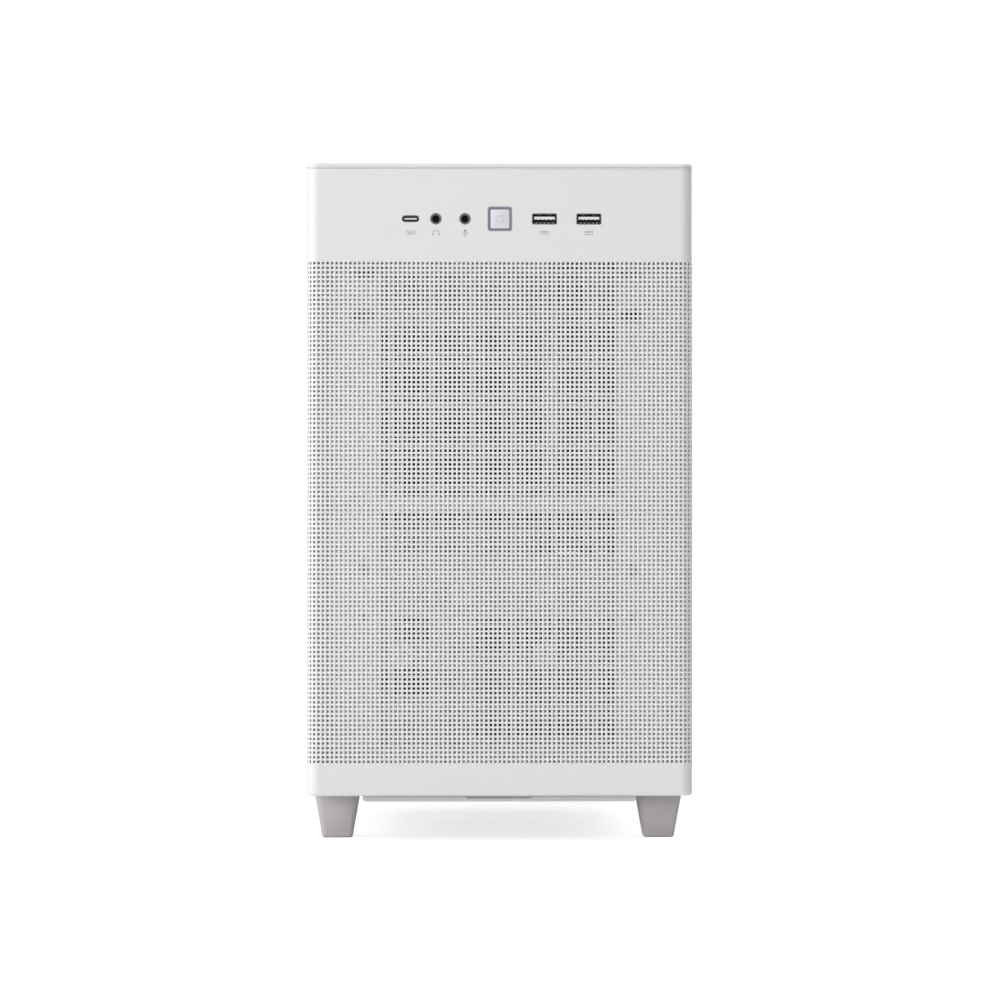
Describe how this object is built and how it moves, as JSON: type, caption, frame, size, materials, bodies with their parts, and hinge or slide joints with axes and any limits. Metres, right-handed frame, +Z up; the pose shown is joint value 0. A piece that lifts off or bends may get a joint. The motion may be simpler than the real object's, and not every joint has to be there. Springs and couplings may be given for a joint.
{
  "type": "desktop computer tower",
  "caption": "Narrow upright desktop computer tower on short tapered feet, perforated sheet-metal panels with plain bands, a row of front ports and a square power button.",
  "frame": {"origin": "centre of the footprint, on the surface that the foot pads stand on", "axes": "+Z up, the front panel faces -Y, +X is to the right as the front is looked at"},
  "size_m": [0.205, 0.46, 0.36],
  "materials": {
    "white_paint": "satin powder coat",
    "white_plastic": "fine texture",
    "grey_plastic": "satin",
    "lavender_plastic": "satin",
    "black_plastic": "fine texture",
    "black_rubber": "matte",
    "port_metal": "dull nickel",
    "bare_steel": "zinc coated",
    "aluminium": "milled",
    "circuit_board": "solder mask"
  },
  "bodies": {
    "chassis": {"chassis_floor": "white_paint", "front_inner_wall": "white_paint", "rear_wall": "white_paint", "motherboard_tray": "white_paint", "top_frame": "white_paint", "psu_bracket": "white_paint", "slot_cover_1": "white_paint", "slot_cover_2": "white_paint", "slot_cover_3": "white_paint", "slot_cover_4": "white_paint", "front_io_carrier": "white_plastic", "rear_fan_frame": "black_plastic", "foot_front_left": "grey_plastic", "foot_front_right": "grey_plastic", "foot_rear_left": "grey_plastic", "foot_rear_right": "grey_plastic", "headphone_jack": "grey_plastic", "microphone_jack": "grey_plastic", "power_button_bezel": "lavender_plastic", "power_switch": "black_plastic", "memory_module_1": "black_plastic", "memory_module_2": "black_plastic", "solid_state_drive": "black_plastic", "cooler_fan_frame": "black_plastic", "psu_fan_frame": "black_plastic", "rear_audio_jacks": "black_plastic", "mains_inlet": "black_plastic", "foot_pad_front_left": "black_rubber", "foot_pad_front_right": "black_rubber", "foot_pad_rear_left": "black_rubber", "foot_pad_rear_right": "black_rubber", "mains_extension_lead": "black_rubber", "main_power_cable": "black_rubber", "cpu_power_cable": "black_rubber", "front_io_cable": "black_rubber", "rear_fan_lead": "black_rubber", "cooler_fan_lead": "black_rubber", "usb_c_port": "port_metal", "usb_a_port_left": "port_metal", "usb_a_port_right": "port_metal", "rear_video_port": "port_metal", "rear_usb_ports": "port_metal", "rear_network_port": "port_metal", "psu_case": "bare_steel", "io_shield": "bare_steel", "processor": "aluminium", "cooler_heatsink": "aluminium", "front_io_board": "circuit_board", "motherboard": "circuit_board", "psu_board": "circuit_board"},
    "front_panel": {"front_panel": "white_paint"},
    "top_panel": {"top_panel": "white_paint"},
    "left_side_panel": {"left_side_panel": "white_paint"},
    "right_side_panel": {"right_side_panel": "white_paint"},
    "dust_filter": {"dust_filter": "lavender_plastic"},
    "power_button": {"power_button": "white_plastic"},
    "cooler_fan_rotor": {"cooler_fan_rotor": "black_plastic"},
    "rear_fan_rotor": {"rear_fan_rotor": "black_plastic"},
    "psu_fan_rotor": {"psu_fan_rotor": "black_plastic"},
    "psu_rocker_switch": {"psu_rocker_switch": "black_plastic"}
  },
  "joints": [
    {"name": "front_panel_pull", "type": "slide", "parent": "chassis", "child": "front_panel", "axis": [0, -1, 0], "range_m": [0, 0.06]},
    {"name": "top_panel_lift", "type": "slide", "parent": "chassis", "child": "top_panel", "axis": [0, 0, 1], "range_m": [0, 0.06]},
    {"name": "left_panel_pull", "type": "slide", "parent": "chassis", "child": "left_side_panel", "axis": [-1, 0, 0], "range_m": [0, 0.06]},
    {"name": "right_panel_pull", "type": "slide", "parent": "chassis", "child": "right_side_panel", "axis": [1, 0, 0], "range_m": [0, 0.06]},
    {"name": "dust_filter_slide", "type": "slide", "parent": "chassis", "child": "dust_filter", "axis": [0, -1, 0], "range_m": [0, 0.3]},
    {"name": "power_button_press", "type": "slide", "parent": "chassis", "child": "power_button", "axis": [0, 1, 0], "range_m": [0, 0.0012], "stiffness_N_per_m": 800, "springref_m": -0.0005},
    {"name": "cooler_fan_spin", "type": "hinge", "parent": "chassis", "child": "cooler_fan_rotor", "pos_m": [0.0257, 0.139, 0.222], "axis": [-1, 0, 0], "continuous": true},
    {"name": "rear_fan_spin", "type": "hinge", "parent": "chassis", "child": "rear_fan_rotor", "pos_m": [-0.028, 0.2115, 0.228], "axis": [0, -1, 0], "continuous": true},
    {"name": "psu_fan_spin", "type": "hinge", "parent": "chassis", "child": "psu_fan_rotor", "pos_m": [0, -0.095, 0.0558], "axis": [0, 0, -1], "continuous": true},
    {"name": "psu_rocker_tip", "type": "hinge", "parent": "chassis", "child": "psu_rocker_switch", "pos_m": [-0.046, -0.1625, 0.112], "axis": [0, 0, 1], "range_deg": [0, 18]}
  ]
}
